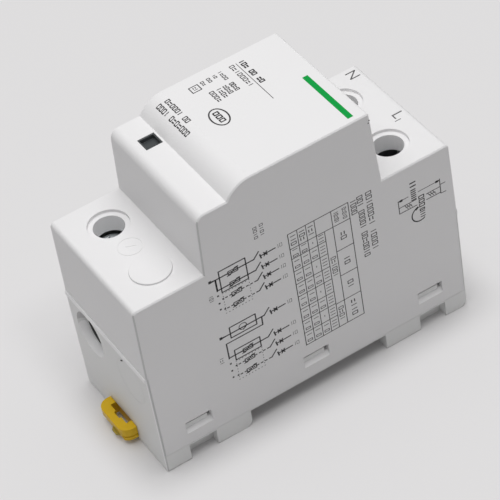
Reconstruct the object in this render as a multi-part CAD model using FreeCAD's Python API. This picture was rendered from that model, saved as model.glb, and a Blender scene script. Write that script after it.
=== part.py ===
import FreeCAD, Part
import math
import os

# Surge protective device, two modules wide, that snaps onto a 35 mm rail. All sizes in millimetres.
# X runs across the modules, Y runs up the mounted device and Z points away from the rail.
# The origin lies on the rail's front face, midway across the modules and midway up the nose.

V = FreeCAD.Vector

# Case
pole_pitch = 18.0
pole_count = 2
case_length = 80.8
wall = 1.6
top_wall = 1.8
fit_gap = 0.2
edge_round = 0.5
edge_bevel = 0.3
touch = 0.01

# Heights above the rail's face
shoulder_height = 44.6
step_height = 60.5
nose_height = 64.0
ledge_height = 25.0
foot_depth = 4.5

# Where the cover meets the base
ledge_set_back = 0.1
end_draft = math.radians(1.0)
end_lip = 0.2
end_lip_height = 1.5
end_lip_slope = 0.4
end_skin = 0.45
seam_height = 0.35
seam_gap = 0.05
lap_height = 3.0
lap_depth = 5.0
lap_thickness = 1.0

# Nose
nose_length = 45.0
nose_draft = math.radians(3.0)
step_length = 7.5
brow_run = 6.2
step_round = 2.2
nose_round = 0.6
shoulder_round = 1.1
inner_round = 0.5

# Screw holes in the cover
terminal_y = 30.2
screw_bore_radius = 3.55
screw_rim_radius = 4.75
screw_rim_depth = 0.7
screw_tube_length = 5.0
screw_tube_wall = 1.3
screw_tube_gap = 2.6

# Cable entries in the end walls
entry_radius = 4.6
entry_flare = 1.1
entry_flare_depth = 2.0
entry_height = 17.5
sleeve_length = 3.6
sleeve_wall = 1.2

# Snap windows in the cover's sides and the base's hooks behind them
window_pitch = 30.75
window_shift = 0.2
window_length = 6.6
window_low = 4.6
window_height = 2.3
window_bevel = 1.1
window_bevel_depth = 0.9
hook_inset = 0.6
hook_gap = 0.2
hook_short = 0.9
hook_slope = 0.8
tongue_thickness = 1.3

# Indicator window
indicator_side = 4.1
indicator_inset = 2.95
lens_sunk = 0.1
lens_rim = 0.3
lens_pocket = 1.0
lens_gap = 0.05
lens_flange = 0.7
lens_flange_height = 0.8

# Base
floor = 1.8
end_wall = 2.2
foot_wall = 1.6
foot_round = 2.0
heel_round = 2.5
mouth_round = 2.0
notch_length = 7.0
notch_depth = 2.5
rail_width = 35.0
rail_play = 1.2
rail_flange = 1.0
rail_slack = 0.2
hook_reach = 1.7
hook_nose = 0.8
hook_height = 2.6
hook_half_width = 7.0

# Rail clip
clip_half_width = 5.9
shaft_half_width = 5.2
clip_thickness = 3.0
clip_low = -3.1
clip_reach = 3.6
clip_slant = 0.5
clip_corner = 2.6
clip_head_step = 0.3
clip_gap = 0.2
clip_tooth_x = 1.4
clip_tooth_width = 1.7
clip_tooth_height = 0.45
clip_tooth_reach = 0.25
clip_travel = 4.5
clip_beak = 1.9
clip_beak_tip = 0.7
clip_wall_gap = 0.1
channel_lip = 1.5
slot_half_width = 3.55
slot_depth = 1.3
slot_notch_half = 1.2
slot_notch_depth = 0.5
peg_radius = 1.2
peg_gap = 0.2
peg_y = -29.0
grip_count = 1
grip_low = 0.9
grip_pitch = 1.0
grip_width = 0.3
grip_depth = 0.2

# Terminals: the screw pushes on a bar and lifts a cage that presses the cable from below
screw_radius = 2.5
thread_gap = 0.05
screw_head_radius = 3.8
screw_head_height = 3.1
screw_head_bevel = 0.5
screw_drive_width = 1.1
screw_drive_length = 5.2
screw_drive_depth = 1.9
# How much further the earth screw is backed out
earth_screw_raise = 1.8
cage_width = 10.4
cage_depth = 8.0
cage_sheet = 1.2
cage_roof = 2.5
cage_bevel = 0.7
cage_opening = 9.3
cage_room = 0.9
ridge_count = 3
ridge_pitch = 2.0
ridge_height = 0.3
bar_width = 7.0
bar_thickness = 1.5
bar_gap = 0.15
bar_bevel = 0.5
chamber_wall = 1.2
chamber_gap = 0.3
chamber_back = 24.0

# Varistor and its two plates
block_side = 34.0
block_thickness = 6.5
block_round = 1.2
block_low = 6.0
block_y = -2.0
block_wall_gap = 2.0
plate_side = 30.0
plate_thickness = 0.8
plate_bevel = 2.0
tab_height = 6.0
pad_thickness = 0.8
pad_length = 5.0
pad_y = -7.5
rest_width = 2.0
rest_spread = 10.0

# Thermal disconnector: an arm on a post, a shutter with a flag and the spring under it
arm_thickness = 0.6
arm_height = 4.0
arm_overhang = 0.5
eye_radius = 1.45
post_radius = 0.8
post_gap = 0.05
post_collar_radius = 1.3
post_collar_height = 1.7
post_collar_gap = 0.2
post_y = 17.7
shutter_thickness = 0.9
shutter_gap = 0.2
shutter_margin = 1.5
shutter_height = 8.5
shutter_clear = 4.7
shutter_travel = 9.5
foot_height = 3.0
stem_thickness = 2.1
stem_width = 3.0
flag_thickness = 1.2
flag_gap = 0.2
flag_margin = 0.3
spring_radius = 1.45
spring_wire = 0.5
spring_turns = 4
spring_peg_height = 2.5
spring_peg_gap = 0.2

# Discharge tube between the neutral and the earth terminal
tube_radius = 6.5
tube_length = 12.0
cap_thickness = 1.2
cap_inset = 0.7
contact_height = 10.7
contact_bevel = 1.0

# Crossing from the neutral bar to the arm's post, and the other live bar's turn
crossing_width = 3.4
crossing_gap = 0.3
turn_y = 21.5

# Insulating barrier between the two poles
barrier_thickness = 1.4
barrier_gap = 0.3
barrier_end_gap = 0.5
barrier_flag_gap = 3.0
guide_low = 27.0
guide_wall = 1.2
guide_gap = 0.2
guide_cover = 1.5

# Worked out from the sizes above
half_width = pole_pitch * pole_count / 2
inner_half = half_width - wall
base_half = inner_half - fit_gap
case_half = case_length / 2
pole_x = pole_pitch / 2
cover_end = case_half - ledge_set_back
skin_start = case_half - end_skin
skirt_end = skin_start - seam_gap
skirt_low = seam_height + seam_gap
base_top = ledge_height - seam_gap
shoulder_end = cover_end - (shoulder_height - ledge_height) * math.tan(end_draft)
nose_half = nose_length / 2
step_front = nose_half - (step_height - shoulder_height) * math.tan(nose_draft)
nose_back = nose_half - (nose_height - shoulder_height) * math.tan(nose_draft)
brow_end = step_length + brow_run - step_front
brow_rise = nose_height - step_height
brow_radius = (brow_run ** 2 + brow_rise ** 2) / (2 * brow_rise)
end_inner = case_half - end_wall
lap_out = cover_end - wall - fit_gap - lap_height * math.tan(end_draft)
lap_in = lap_out - lap_thickness
rail_edge = (rail_width + rail_play) / 2
window_centres = [window_shift + k * window_pitch for k in (-1, 0, 1)]
window_high = window_low + window_height
tongue_in = base_half - tongue_thickness
indicator_y = indicator_side / 2 + indicator_inset - step_front
lens_low = step_height - top_wall - lens_flange_height
sleeve_end = end_inner - sleeve_length
shaft_high = clip_low + clip_thickness
clip_near = case_half + clip_wall_gap
clip_outer = clip_near + clip_reach
clip_head_high = shaft_high + clip_head_step
beak_high = -rail_flange - rail_slack
bar_low = entry_height + entry_radius
bar_high = bar_low + bar_thickness
bar_end = sleeve_end - bar_gap
cage_floor = bar_low - cage_opening
cage_low = cage_floor - cage_sheet
cage_ceiling = bar_high + cage_room
cage_high = cage_ceiling + cage_roof
screw_tip = bar_high + thread_gap
head_high = shoulder_height - screw_tube_length - screw_tube_gap
head_low = head_high - screw_head_height
chamber_half = cage_width / 2 + chamber_gap
block_out = inner_half - block_wall_gap
block_in = block_out - block_thickness
plate_out = block_out + plate_thickness
plate_in = block_in - plate_thickness
plate_low = block_low + (block_side - plate_side) / 2
block_start = block_y - block_side / 2
block_end = block_y + block_side / 2
pad_face = plate_in - pad_thickness
arm_low = bar_high + post_collar_height + post_collar_gap
arm_high = arm_low + arm_height
arm_end = pad_y - pad_length / 2 - arm_overhang
post_x = pad_face - eye_radius
shutter_in = pad_face - shutter_gap
shutter_out = shutter_in - shutter_thickness
shutter_high = arm_low - shutter_clear
shutter_low = shutter_high - shutter_height
shutter_start = pad_y - pad_length / 2 - shutter_margin
shutter_end = pad_y + pad_length / 2 + shutter_margin
stem_out = shutter_in - stem_thickness
spring_x = (shutter_in + stem_out) / 2 - shutter_gap
flag_high = lens_low - flag_gap - shutter_travel
flag_low = flag_high - flag_thickness
tube_z = (bar_low + bar_high) / 2
barrier_half = barrier_thickness / 2
terminals = [("n", -1, 1), ("l1", 1, 1), ("pe", -1, -1)]


def box(x_span, y_span, z_span):
    """Block between the two ends of each span, given in either order."""
    low = V(min(x_span), min(y_span), min(z_span))
    high = V(max(x_span), max(y_span), max(z_span))
    size = high - low
    return Part.makeBox(size.x, size.y, size.z, low)


def rod(radius, start, end):
    """Round bar from one point to another."""
    way = end - start
    return Part.makeCylinder(radius, way.Length, start, way)


def cone(radius, end_radius, start, end):
    """Tapered round bar from one point to another."""
    way = end - start
    return Part.makeCone(radius, end_radius, way.Length, start, way)


def flat_point(plane, a, b):
    """Point of a flat outline that lies in the yz, xz or xy plane."""
    if plane == "yz":
        return V(0, a, b)
    if plane == "xz":
        return V(a, 0, b)
    return V(a, b, 0)


def outline(plane, corners):
    """Closed wire through corners, each given as two coordinates and a corner radius."""
    points = [flat_point(plane, a, b) for a, b, radius in corners]
    starts = []
    ends = []
    arcs = []
    for i, (a, b, radius) in enumerate(corners):
        here = points[i]
        back = (points[i - 1] - here).normalize()
        ahead = (points[(i + 1) % len(points)] - here).normalize()
        half = back.getAngle(ahead) / 2
        reach = radius / math.tan(half)
        starts.append(here + back * reach)
        ends.append(here + ahead * reach)
        if radius:
            bisector = (back + ahead).normalize()
            middle = here + bisector * (radius / math.sin(half) - radius)
            arcs.append(Part.Arc(starts[i], middle, ends[i]).toShape())
        else:
            arcs.append(None)
    edges = []
    for i, arc in enumerate(arcs):
        if arc:
            edges.append(arc)
        following = starts[(i + 1) % len(starts)]
        if (following - ends[i]).Length > 1e-6:
            edges.append(Part.LineSegment(ends[i], following).toShape())
    return Part.Wire(edges)


def prism(plane, corners, low, high):
    """Flat outline pushed along its normal from low to high."""
    normal = {"yz": V(1, 0, 0), "xz": V(0, 1, 0), "xy": V(0, 0, 1)}[plane]
    face = Part.Face(outline(plane, corners))
    face.translate(normal * low)
    return face.extrude(normal * (high - low))


def tile(plane, a_span, b_span, radius, low, high):
    """Rectangle with rounded corners pushed along its normal from low to high."""
    corners = [(a_span[0], b_span[0], radius), (a_span[1], b_span[0], radius),
               (a_span[1], b_span[1], radius), (a_span[0], b_span[1], radius)]
    return prism(plane, corners, low, high)


def bevelled(plane, a_span, b_span, bevel, low, high):
    """Rectangle with its corners cut off pushed along its normal from low to high."""
    a_low, a_high = a_span
    b_low, b_high = b_span
    return prism(plane, [
        (a_low + bevel, b_low, 0), (a_high - bevel, b_low, 0), (a_high, b_low + bevel, 0),
        (a_high, b_high - bevel, 0), (a_high - bevel, b_high, 0), (a_low + bevel, b_high, 0),
        (a_low, b_high - bevel, 0), (a_low, b_low + bevel, 0),
    ], low, high)


def edges_where(shape, wanted):
    """Edges of a shape whose middle point passes the test."""
    chosen = []
    for edge in shape.Edges:
        if wanted(edge.valueAt((edge.FirstParameter + edge.LastParameter) / 2)):
            chosen.append(edge)
    return chosen


def sliver(radius, corner, inward, way):
    """What rounding takes off a straight edge that starts at corner and runs along way."""
    middle = corner + inward * radius
    far = middle + way
    block = box((corner.x, far.x), (corner.y, far.y), (corner.z, far.z))
    return block.cut(rod(radius, middle, far))


def turned(points, start, way):
    """Solid of revolution about the line from start along way; points give distance along and radius."""
    x_axis = V(0, 0, 1) if abs(way.z) < 0.5 else V(1, 0, 0)
    corners = [start + way * along + x_axis * radius for along, radius in points]
    wire = Part.makePolygon(corners + [corners[0]])
    return Part.Face(wire).revolve(start, way, 360)


def cover_profile(inset, drop, low):
    """Side outline of the cover, its ends moved inwards by inset and its tops lowered by drop."""
    radius = brow_radius - drop
    turn = math.acos(1 - brow_rise / radius)
    crease = brow_end - radius * math.sin(turn)
    brow_corner = brow_end - radius * math.tan(turn / 2)
    shoulder = shoulder_height - drop
    step = step_height - drop
    top = nose_height - drop
    rounds = [shoulder_round, step_round, nose_round]
    if inset:
        rounds = [inner_round, inner_round, inner_round]
    return [
        (inset - cover_end, low, 0),
        (inset - shoulder_end, shoulder, rounds[0]),
        (inset - nose_half, shoulder, 0),
        (inset - step_front, step, rounds[1]),
        (crease, step, 0),
        (brow_corner, top, radius),
        (nose_back - inset, top, rounds[2]),
        (nose_half - inset, shoulder, 0),
        (shoulder_end - inset, shoulder, rounds[0]),
        (cover_end - inset, low, 0),
    ]


def on_cover_side(point):
    """True for the cover's outer edges along its two side faces."""
    return abs(point.x) > half_width - touch and point.z > ledge_height + touch


def snap_window(side, centre):
    """Cut through one side wall, with its lower edge bevelled on the outside."""
    span = (centre - window_length / 2, centre + window_length / 2)
    hole = box((side * inner_half, side * half_width), span, (window_low, window_high))
    bevel = prism("xz", [
        (side * (half_width - window_bevel_depth), window_low, 0),
        (side * half_width, window_low, 0),
        (side * half_width, window_low - window_bevel, 0),
    ], span[0], span[1])
    return hole.fuse(bevel)


def screw_tube(side, end):
    """Tube that hangs from the cover's shoulder around a screw hole."""
    low = V(side * pole_x, end * terminal_y, shoulder_height - screw_tube_length)
    high = V(low.x, low.y, shoulder_height - screw_rim_depth)
    return rod(screw_bore_radius + screw_tube_wall, low, high)


def screw_hole(side, end):
    """Stepped hole for the screwdriver."""
    top = V(side * pole_x, end * terminal_y, shoulder_height)
    rim = top - V(0, 0, screw_rim_depth)
    bottom = top - V(0, 0, screw_tube_length)
    return rod(screw_bore_radius, bottom, top).fuse(rod(screw_rim_radius, rim, top))


def front_cover():
    """Cover with its shoulders, stepped nose, screw holes, snap windows and indicator opening."""
    cover = prism("yz", cover_profile(0, 0, ledge_height), -half_width, half_width)
    cover = cover.makeChamfer(edge_bevel, edges_where(cover, on_cover_side))
    skirt = box((-half_width, half_width), (-skirt_end, skirt_end), (skirt_low, ledge_height))
    hollow = prism("yz", cover_profile(wall, top_wall, ledge_height), -inner_half, inner_half)
    under = box((-inner_half, inner_half), (-case_half, case_half), (skirt_low, ledge_height))
    cover = cover.fuse(skirt).cut(hollow).cut(under).removeSplitter()
    for name, side, end in terminals:
        cover = cover.fuse(screw_tube(side, end)).cut(screw_hole(side, end))
    for side in (-1, 1):
        for centre in window_centres:
            cover = cover.cut(snap_window(side, centre))
    reach = indicator_side / 2
    opening = box((-pole_x - reach, -pole_x + reach), (indicator_y - reach, indicator_y + reach),
                  (step_height - top_wall, step_height))
    return cover.cut(opening).removeSplitter()


def base_shell():
    """Bottom slab and the two outer end skins, full width."""
    shell = tile("xy", (-half_width, half_width), (-case_half, case_half), edge_round, -foot_depth, base_top)
    inside = box((-case_half, case_half), (-skin_start, skin_start), (seam_height, base_top))
    shell = shell.cut(inside)
    recess = box((-half_width, half_width), (-rail_edge, rail_edge), (-foot_depth, 0))
    shell = shell.cut(recess)
    along = V(0, case_length, 0)
    across = V(pole_pitch * pole_count, 0, 0)
    shell = shell.cut([
        sliver(foot_round, V(-half_width, -case_half, -foot_depth), V(1, 0, 1), along),
        sliver(heel_round, V(-half_width, case_half, -foot_depth), V(0, -1, 1), across),
        sliver(mouth_round, V(-half_width, -rail_edge, -foot_depth), V(0, -1, 1), across),
    ])
    inner_floor = box((-base_half, base_half), (-skin_start, skin_start), (0, floor))
    return shell.fuse(inner_floor)


def base_end(end):
    """Inner layer of an end wall, the lap behind the cover and the lip along its top."""
    layer = box((-base_half, base_half), (end * skin_start, end * end_inner), (0, base_top))
    lap = box((-base_half, base_half), (end * lap_out, end * lap_in),
              (ledge_height - lap_depth, ledge_height + lap_height))
    lip = prism("yz", [
        (end * (case_half - end_lip), base_top, 0),
        (end * (case_half + end_lip), base_top - end_lip, 0),
        (end * (case_half + end_lip), base_top - end_lip_height, 0),
        (end * (case_half - end_lip), base_top - end_lip_height - end_lip_slope, 0),
    ], edge_round - half_width, half_width - edge_round)
    return [layer, lap, lip]


def cable_sleeve(side, end):
    """Collar inside an end wall around a cable entry."""
    start = V(side * pole_x, end * (end_inner + fit_gap), entry_height)
    return rod(entry_radius + sleeve_wall, start, V(start.x, end * sleeve_end, entry_height))


def cable_hole(side, end):
    """Round cable entry with a flared mouth."""
    mouth = V(side * pole_x, end * case_half, entry_height)
    throat = mouth - V(0, end * entry_flare_depth, 0)
    hole = rod(entry_radius, mouth, V(mouth.x, end * sleeve_end, entry_height))
    return hole.fuse(cone(entry_radius + entry_flare, entry_radius, mouth, throat))


def chamber(side, end):
    """Walls on three sides of a clamp cage that carry the bar."""
    x = side * pole_x
    outer = chamber_half + chamber_wall
    block = box((x - outer, x + outer), (end * chamber_back, end * (end_inner + fit_gap)), (0, bar_low))
    room = box((x - chamber_half, x + chamber_half),
               (end * (chamber_back + chamber_wall), end * case_half), (0, bar_low))
    return block.cut(room)


def snap_hook(side, centre):
    """Springy tongue with a hook that catches in a cover window."""
    half = window_length / 2
    tongue = box((side * tongue_in, side * base_half), (centre - half, centre + half), (0, window_high))
    face = half_width - hook_inset
    hook = prism("xz", [
        (side * tongue_in, window_low + hook_gap, 0),
        (side * face, window_low + hook_gap, 0),
        (side * face, window_high - hook_gap - hook_slope, 0),
        (side * tongue_in, window_high - hook_gap, 0),
    ], centre - half + hook_gap, centre + half - hook_short)
    return tongue.fuse(hook)


def side_notch(side, centre):
    """Pocket in the side of the feet under a snap hook."""
    return box((side * half_width, side * (half_width - notch_depth)),
               (centre - notch_length / 2, centre + notch_length / 2), (-foot_depth, 0))


def foot_core(side, end, inner):
    """Hollow in the underside of a foot, from the line at inner out to the side wall."""
    outer = half_width - notch_depth - foot_wall
    return box((side * inner, side * outer),
               (end * (rail_edge + foot_wall), end * (case_half - foot_wall)), (-foot_depth, 0))


def rail_hook():
    """Fixed hook that grips behind the rail's upper edge."""
    tip = rail_edge - hook_reach
    return prism("yz", [
        (rail_edge + foot_wall, beak_high, 0),
        (tip, beak_high, 0),
        (tip, beak_high - hook_nose, 0),
        (rail_edge, beak_high - hook_height, 0),
        (rail_edge + foot_wall, beak_high - hook_height, 0),
    ], -hook_half_width, hook_half_width)


def hook_relief():
    """Shallow pocket in the recess roof straight above the fixed hook."""
    return box((-hook_half_width - fit_gap, hook_half_width + fit_gap),
               (rail_edge - hook_reach - fit_gap, rail_edge), (0, floor / 2))


def clip_channel():
    """Channel that the rail clip slides in, open to the end wall and to the rail recess."""
    half = shaft_half_width + clip_gap
    run = box((-half, half), (-case_half, clip_beak + clip_gap - rail_edge),
              (clip_low - clip_gap, shaft_high + clip_gap))
    mouth = box((channel_lip - half, half - channel_lip), (-case_half, -rail_edge), (-foot_depth, 0))
    return run.fuse(mouth)


def clip_peg():
    """Peg on the channel's roof that stops the clip at both ends of its travel."""
    return rod(peg_radius, V(0, peg_y, clip_low + clip_gap), V(0, peg_y, floor / 2))


def block_rest(y):
    """Rib that the varistor stands on, with a lug at each side."""
    lugs = box((plate_in - plate_thickness, plate_out + plate_thickness), (y, y + rest_width),
               (floor / 2, plate_low))
    seat = box((plate_in, plate_out), (y, y + rest_width), (block_low, plate_low))
    return lugs.cut(seat)


def rear_base():
    """Base with feet, rail recess, end walls, cable entries, chambers and snap hooks."""
    base = base_shell()
    for end in (-1, 1):
        base = base.fuse(base_end(end))
    for name, side, end in terminals:
        base = base.fuse([cable_sleeve(side, end), chamber(side, end)])
    for name, side, end in terminals:
        base = base.cut(cable_hole(side, end))
    channel_wall = shaft_half_width + clip_gap + foot_wall
    for side in (-1, 1):
        base = base.cut([foot_core(side, -1, channel_wall), foot_core(side, 1, foot_wall / 2)])
        for centre in (window_centres[0], window_centres[2]):
            base = base.cut(side_notch(side, centre))
        for centre in window_centres:
            base = base.fuse(snap_hook(side, centre))
    base = base.cut([clip_channel(), hook_relief()])
    base = base.fuse([rail_hook(), clip_peg()])
    for y in (block_y - rest_spread, block_y + rest_spread - rest_width):
        base = base.fuse(block_rest(y))
    peg = V(spring_x, indicator_y, floor / 2)
    peg_size = spring_radius - spring_wire / 2 - spring_peg_gap
    base = base.fuse(rod(peg_size, peg, V(peg.x, peg.y, floor + spring_peg_height)))
    return base.removeSplitter()


def clip_shaft():
    """Flat shaft of the rail clip with its beak, seen from the side."""
    tip = clip_beak - rail_edge
    return prism("yz", [
        (-clip_near - slot_depth, clip_low, 0),
        (tip - clip_beak_tip, clip_low, 0),
        (tip, clip_low + clip_beak_tip, 0),
        (tip, beak_high, 0),
        (-rail_edge - clip_gap, beak_high, 0),
        (-rail_edge - clip_gap, shaft_high, 0),
        (-clip_near - slot_depth, shaft_high, 0),
    ], -shaft_half_width, shaft_half_width)


def head_slab(inset, low, high):
    """Outline of the pull tab, moved inwards by inset on its three open sides, pushed from low to high."""
    half = clip_half_width - inset
    outer = inset - clip_outer
    return prism("xy", [
        (-half, -clip_near, 0), (-half, outer, clip_corner), (half, outer, clip_corner), (half, -clip_near, 0),
    ], low, high)


def clip_head():
    """Pull tab outside the end wall: slanted front, grip grooves and the tooth under its front edge."""
    head = head_slab(0, clip_low, clip_head_high)
    for k in range(grip_count):
        low = clip_low + grip_low + k * grip_pitch
        groove = head_slab(0, low, low + grip_width).cut(head_slab(grip_depth, low, low + grip_width))
        head = head.cut(groove)
    slant = prism("yz", [
        (-clip_outer, clip_head_high, 0), (-clip_outer, clip_low, 0), (clip_slant - clip_outer, clip_low, 0),
    ], -clip_half_width, clip_half_width)
    tooth_half = clip_tooth_width / 2
    tooth_root = clip_slant - clip_outer
    tooth = prism("xy", [
        (clip_tooth_x - clip_tooth_width, tooth_root, 0),
        (clip_tooth_x - tooth_half, -clip_outer - clip_tooth_reach, 0),
        (clip_tooth_x + tooth_half, -clip_outer - clip_tooth_reach, 0),
        (clip_tooth_x + clip_tooth_width, tooth_root, 0),
    ], clip_low, clip_low + clip_tooth_height)
    return head.cut(slant).fuse(tooth)


def rail_clip():
    """Sliding clip: shaft, pull tab, screwdriver slot and the long hole around the stop peg."""
    near = clip_gap - case_half
    far = -clip_near - slot_depth
    clip = clip_shaft().fuse(clip_head())
    slot = box((-slot_half_width, slot_half_width), (near, far), (clip_low, clip_head_high))
    notch = box((-slot_notch_half, slot_notch_half), (near, far - slot_notch_depth),
                (clip_low, clip_head_high))
    half = peg_radius + peg_gap
    hole = tile("xy", (-half, half), (peg_y - half, peg_y + clip_travel + half), half - touch,
                clip_low, shaft_high)
    return clip.cut([slot, notch, hole]).removeSplitter()


def indicator_window():
    """Dark lens with a shallow pocket in its face and a flange that rests under the cover's roof."""
    half = indicator_side / 2 - lens_gap
    wide = indicator_side / 2 + lens_flange
    roof = step_height - top_wall
    face = step_height - lens_sunk
    body = box((-pole_x - half, -pole_x + half), (indicator_y - half, indicator_y + half), (roof, face))
    inner = half - lens_rim
    pocket = box((-pole_x - inner, -pole_x + inner), (indicator_y - inner, indicator_y + inner),
                 (face - lens_pocket, face))
    flange = box((-pole_x - wide, -pole_x + wide), (indicator_y - wide, indicator_y + wide),
                 (lens_low, roof))
    return body.cut(pocket).fuse(flange)


def terminal_screw(side, end, raised):
    """Screw with a bevelled head and a crossed drive, backed out by raised."""
    start = V(side * pole_x, end * terminal_y, screw_tip + raised)
    top = head_high + raised
    length = head_high - screw_tip
    shank = head_low - screw_tip
    screw = turned([
        (0, 0), (0, screw_radius), (shank, screw_radius), (shank, screw_head_radius),
        (length - screw_head_bevel, screw_head_radius), (length, screw_head_radius - screw_head_bevel),
        (length, 0),
    ], start, V(0, 0, 1))
    half = screw_drive_width / 2
    for long_side, short_side in ((screw_drive_length / 2, half), (half, screw_drive_length / 2)):
        screw = screw.cut(box((start.x - long_side, start.x + long_side),
                              (start.y - short_side, start.y + short_side),
                              (top - screw_drive_depth, top)))
    return screw


def clamp_cage(side, end):
    """Square tube around the bar with a threaded roof and ridges that grip the cable."""
    x = side * pole_x
    y = end * terminal_y
    half = cage_width / 2
    span = (y - cage_depth / 2, y + cage_depth / 2)
    cage = bevelled("xz", (x - half, x + half), (cage_low, cage_high), cage_bevel, span[0], span[1])
    inner = half - cage_sheet
    cage = cage.cut(box((x - inner, x + inner), span, (cage_floor, cage_ceiling)))
    cage = cage.cut(rod(screw_radius + thread_gap, V(x, y, cage_ceiling), V(x, y, cage_high)))
    for k in range(ridge_count):
        middle = y + (k - (ridge_count - 1) / 2) * ridge_pitch
        ridge = prism("yz", [
            (middle - ridge_height, cage_floor, 0),
            (middle + ridge_height, cage_floor, 0),
            (middle, cage_floor + ridge_height, 0),
        ], x - inner, x + inner)
        cage = cage.fuse(ridge)
    return cage


def bar_strip(side, end, inner_y):
    """Straight part of a terminal bar, from the cable entry to inner_y."""
    x = side * pole_x
    return bevelled("xy", (x - bar_width / 2, x + bar_width / 2), sorted((end * bar_end, inner_y)),
                    bar_bevel, bar_low, bar_high)


def tube_contact(end):
    """Upright plate that presses on one cap of the discharge tube."""
    y = end * tube_length / 2
    return bevelled("xz", (-pole_x - bar_width / 2, -pole_x + bar_width / 2),
                    (tube_z - contact_height / 2, tube_z + contact_height / 2), contact_bevel,
                    min(y, y + end * bar_thickness), max(y, y + end * bar_thickness))


def neutral_bar():
    """Neutral bar: strip, contact for the tube and crossing to the arm's post."""
    strip = bar_strip(-1, 1, tube_length / 2 + bar_thickness / 2)
    crossing = bevelled("xy", (-pole_x, post_x + eye_radius + bar_bevel),
                        (post_y - crossing_width / 2, post_y + crossing_width / 2),
                        bar_bevel, bar_low, bar_high)
    hole = rod(post_radius, V(post_x, post_y, bar_low), V(post_x, post_y, bar_high))
    return strip.fuse([tube_contact(1), crossing]).cut(hole).removeSplitter()


def earth_bar():
    """Earth bar: strip and contact for the tube."""
    strip = bar_strip(-1, -1, -tube_length / 2 - bar_thickness / 2)
    return strip.fuse(tube_contact(-1)).removeSplitter()


def live_bar():
    """Live bar: strip that turns outwards to the varistor's outer plate."""
    strip = bar_strip(1, 1, turn_y)
    turn = box((pole_x, block_out), (turn_y, chamber_back + bar_bevel), (bar_low, bar_high))
    return strip.fuse(turn).removeSplitter()


def varistor_block():
    """Varistor disc cast in a square block."""
    return tile("yz", (block_start, block_end), (block_low, block_low + block_side), block_round,
                block_in, block_out)


def plate_sheet(low, high):
    """Square plate on one face of the varistor."""
    half = plate_side / 2
    return bevelled("yz", (block_y - half, block_y + half), (plate_low, plate_low + plate_side),
                    plate_bevel, low, high)


def outer_plate():
    """Plate on the varistor's outer face, with a tab that reaches the live bar."""
    tab = box((block_out, plate_out), (block_y, chamber_back - chamber_gap),
              (tube_z - tab_height / 2, tube_z + tab_height / 2))
    return plate_sheet(block_out, plate_out).fuse(tab).removeSplitter()


def inner_plate():
    """Plate on the varistor's inner face, with the pad that the arm is soldered to."""
    pad = box((pad_face, plate_in), (pad_y - pad_length / 2, pad_y + pad_length / 2), (arm_low, arm_high))
    return plate_sheet(plate_in, block_in).fuse(pad)


def disconnect_arm():
    """Contact arm with a rolled eye around its post."""
    blade = box((pad_face - arm_thickness, pad_face), (arm_end, post_y), (arm_low, arm_high))
    low = V(post_x, post_y, arm_low)
    high = V(post_x, post_y, arm_high)
    arm = blade.fuse(rod(eye_radius, low, high)).cut(rod(post_radius + post_gap, low, high))
    return arm.removeSplitter()


def arm_post():
    """Post riveted into the neutral bar, with a collar under the arm."""
    collar_high = bar_high + post_collar_height
    post_high = arm_high + post_collar_gap
    return turned([
        (bar_low, 0), (bar_low, post_radius), (bar_high, post_radius), (bar_high, post_collar_radius),
        (collar_high, post_collar_radius), (collar_high, post_radius), (post_high, post_radius),
        (post_high, 0),
    ], V(post_x, post_y, 0), V(0, 0, 1))


def indicator_slider():
    """Insulating shutter, its foot and stem, and the flag that comes up behind the lens."""
    stem_low_y = indicator_y - stem_width / 2
    shutter = box((shutter_out, shutter_in), (shutter_start, shutter_end), (shutter_low, shutter_high))
    foot = box((stem_out, shutter_in), (stem_low_y, shutter_start), (shutter_low, shutter_low + foot_height))
    stem = box((stem_out, shutter_in), (stem_low_y, stem_low_y + stem_width), (shutter_low, flag_low))
    reach = indicator_side / 2 + flag_margin
    flag = box((-pole_x - reach, shutter_in), (indicator_y - reach, indicator_y + reach),
               (flag_low, flag_high))
    return shutter.fuse([foot, stem, flag]).removeSplitter()


def indicator_spring():
    """Coil spring of square wire between the floor and the slider's foot."""
    half_wire = spring_wire / 2
    height = shutter_low - floor - spring_wire
    helix = Part.makeHelix(height / spring_turns, height, spring_radius)
    near = spring_radius - half_wire
    far = spring_radius + half_wire
    section = Part.makePolygon([V(near, 0, -half_wire), V(far, 0, -half_wire), V(far, 0, half_wire),
                                V(near, 0, half_wire), V(near, 0, -half_wire)])
    coil = Part.Wire(helix.Edges).makePipeShell([section], True, True)
    coil.translate(V(spring_x, indicator_y, floor + half_wire))
    return coil


def discharge_tube():
    """Ceramic body of the discharge tube."""
    half = tube_length / 2 - cap_thickness
    return rod(tube_radius, V(-pole_x, -half, tube_z), V(-pole_x, half, tube_z))


def tube_cap(end):
    """Metal cap on one end of the discharge tube."""
    half = tube_length / 2
    return rod(tube_radius - cap_inset, V(-pole_x, end * (half - cap_thickness), tube_z),
               V(-pole_x, end * half, tube_z))


def inner_barrier():
    """Wall between the two poles, cut out for the crossing, with a guide for the slider's stem."""
    end = lap_in - barrier_end_gap
    shoulder = nose_half - wall - barrier_gap
    top = flag_low - barrier_flag_gap
    reach = crossing_width / 2 + crossing_gap
    barrier = box((-barrier_half, barrier_half), (-shoulder, shoulder), (floor, top))
    for side in (-1, 1):
        barrier = barrier.fuse(box((-barrier_half, barrier_half), (side * shoulder, side * end),
                                   (floor, shoulder_height - top_wall - barrier_gap)))
    barrier = barrier.cut(box((-barrier_half, barrier_half), (post_y - reach, post_y + reach),
                              (bar_low - crossing_gap, top)))
    reach = stem_width / 2 + guide_gap
    for side in (-1, 1):
        near = indicator_y + side * reach
        barrier = barrier.fuse(box((0, stem_out + guide_cover), (near, near + side * guide_wall),
                                   (guide_low, top)))
    return barrier.removeSplitter()


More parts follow.
